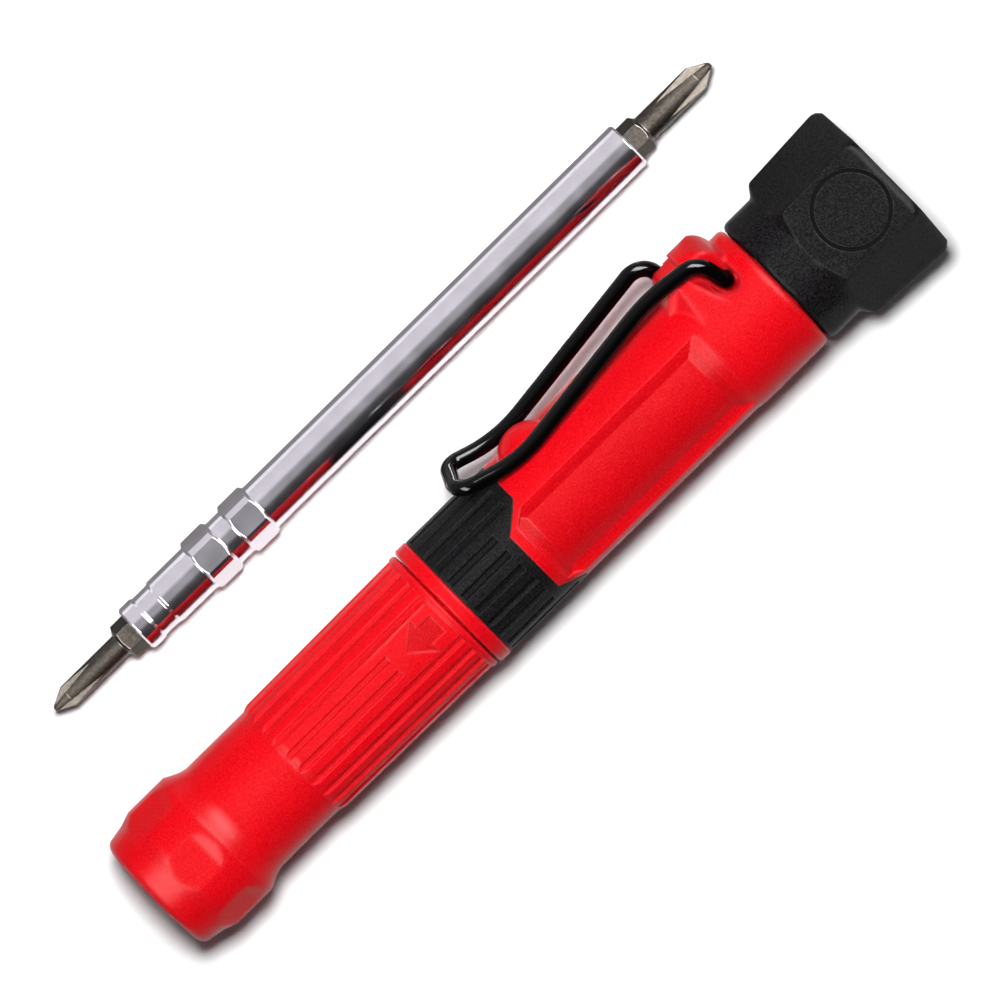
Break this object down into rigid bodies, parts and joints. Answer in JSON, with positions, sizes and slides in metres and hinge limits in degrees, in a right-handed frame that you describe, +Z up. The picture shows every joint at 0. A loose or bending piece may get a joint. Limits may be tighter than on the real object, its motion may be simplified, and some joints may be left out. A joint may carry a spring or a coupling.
{
  "type": "pocket screwdriver",
  "caption": "Pocket screwdriver: hollow ribbed handle case with hexagonal head and wire pocket clip, and its reversible shaft with double-ended bits lying beside it.",
  "frame": {"origin": "centre of the bounding box at its bottom, on the table that the handle and the shaft lie on", "axes": "+X from the handle's nose to its hexagonal head, +Y from the handle to the loose shaft, +Z up from the table"},
  "size_m": [0.1846, 0.0592, 0.0307],
  "materials": {
    "red_plastic": "satin",
    "black_plastic": "satin",
    "grip_rubber": "satin",
    "clip_wire": "gloss",
    "shaft_plating": "satin",
    "steel": "satin",
    "bit_steel": "satin",
    "brass_insert": "satin"
  },
  "bodies": {
    "case": {"rear_body": "red_plastic", "grip_band": "grip_rubber", "spigot_collar": "red_plastic", "seal_ring": "grip_rubber", "storage_tube": "black_plastic", "shaft_bumper": "grip_rubber", "tail_insert": "brass_insert", "hex_head": "black_plastic", "head_washer": "steel", "head_screw": "steel"},
    "front": {"front_sleeve": "red_plastic", "drive_bush": "steel", "shaft_snap_ring": "steel", "bush_retainer": "steel"},
    "clip": {"wire_clip": "clip_wire"},
    "shaft": {"shaft_tube": "shaft_plating", "bit_ring_1": "steel", "bit_ring_2": "steel"},
    "bit_front": {"bit_1": "bit_steel"},
    "bit_rear": {"bit_2": "bit_steel"}
  },
  "joints": [
    {"name": "front_pull", "type": "slide", "parent": "case", "child": "front", "axis": [-1, 0, -0.0058], "range_m": [0, 0.045]},
    {"name": "clip_flex", "type": "hinge", "parent": "case", "child": "clip", "pos_m": [0.05533, -0.00344, 0.01997], "axis": [0.005, 0.5, -0.866], "range_deg": [0, 3], "stiffness_Nm_per_rad": 0.3},
    {"name": "shaft_lift", "type": "slide", "parent": "case", "child": "shaft", "axis": [0, 0, 1], "range_m": [0, 0.06]},
    {"name": "bit_front_pull", "type": "slide", "parent": "shaft", "child": "bit_front", "axis": [-1, 0, 0], "range_m": [0, 0.04]},
    {"name": "bit_rear_pull", "type": "slide", "parent": "shaft", "child": "bit_rear", "axis": [1, 0, 0], "range_m": [0, 0.04]}
  ]
}
